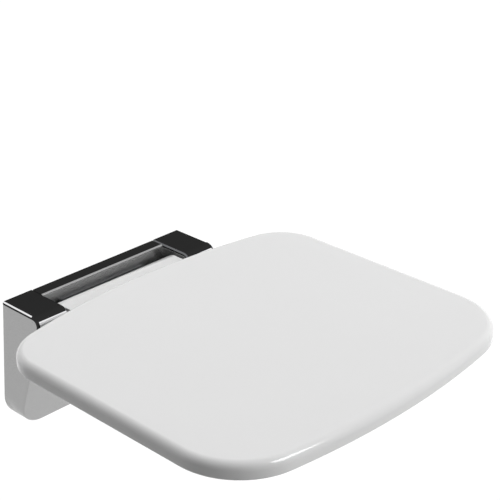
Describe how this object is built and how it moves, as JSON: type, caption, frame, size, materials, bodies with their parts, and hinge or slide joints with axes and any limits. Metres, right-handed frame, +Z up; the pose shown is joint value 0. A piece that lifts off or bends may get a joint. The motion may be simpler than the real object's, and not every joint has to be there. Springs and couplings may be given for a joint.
{
  "type": "wall-mounted folding shower seat",
  "caption": "Fold-up shower seat: a white rounded seat plate on a white support arm, hinged in a chromed wall bracket with dark polished top trim.",
  "frame": {"origin": "centre of the four wall fixings, on the wall", "axes": "+Z up, +Y into the wall, so the seat stands out along -Y, and +X to the right of someone facing the wall"},
  "size_m": [0.38, 0.4063, 0.1437],
  "materials": {
    "white_gloss": "moulded, high gloss white",
    "chrome": "satin chrome plate",
    "black_chrome": "dark polished chrome",
    "stainless_plate": "brushed stainless steel",
    "stainless_rod": "ground stainless steel",
    "plated_screws": "zinc-plated steel",
    "cast_aluminium": "die-cast aluminium",
    "acetal": "turned acetal",
    "rubber": "moulded black rubber",
    "brass": "knurled brass"
  },
  "bodies": {
    "bracket": {"mounting_plate": "stainless_plate", "left_bearing_block": "cast_aluminium", "right_bearing_block": "cast_aluminium", "block_screws": "plated_screws", "hinge_axle": "stainless_rod", "axle_grub_screws": "plated_screws", "friction_washers": "stainless_rod", "stop_bar": "stainless_plate", "stop_pads": "rubber", "housing_cover": "chrome", "left_arm_cap": "black_chrome", "right_arm_cap": "black_chrome", "back_rail_cap": "black_chrome", "cover_screws": "plated_screws"},
    "seat": {"seat_top": "white_gloss", "seat_underside": "white_gloss", "seat_inserts": "brass", "seat_screws": "plated_screws", "hinge_beam": "cast_aluminium", "hinge_bushes": "acetal", "arm_shell": "white_gloss", "heel_cover": "white_gloss", "side_screws": "plated_screws", "side_plugs": "white_gloss", "tip_screws": "plated_screws"}
  },
  "joints": [
    {"name": "seat_fold", "type": "hinge", "parent": "bracket", "child": "seat", "pos_m": [0, -0.0385, 0.0555], "axis": [-1, 0, 0], "range_deg": [0, 90]}
  ]
}
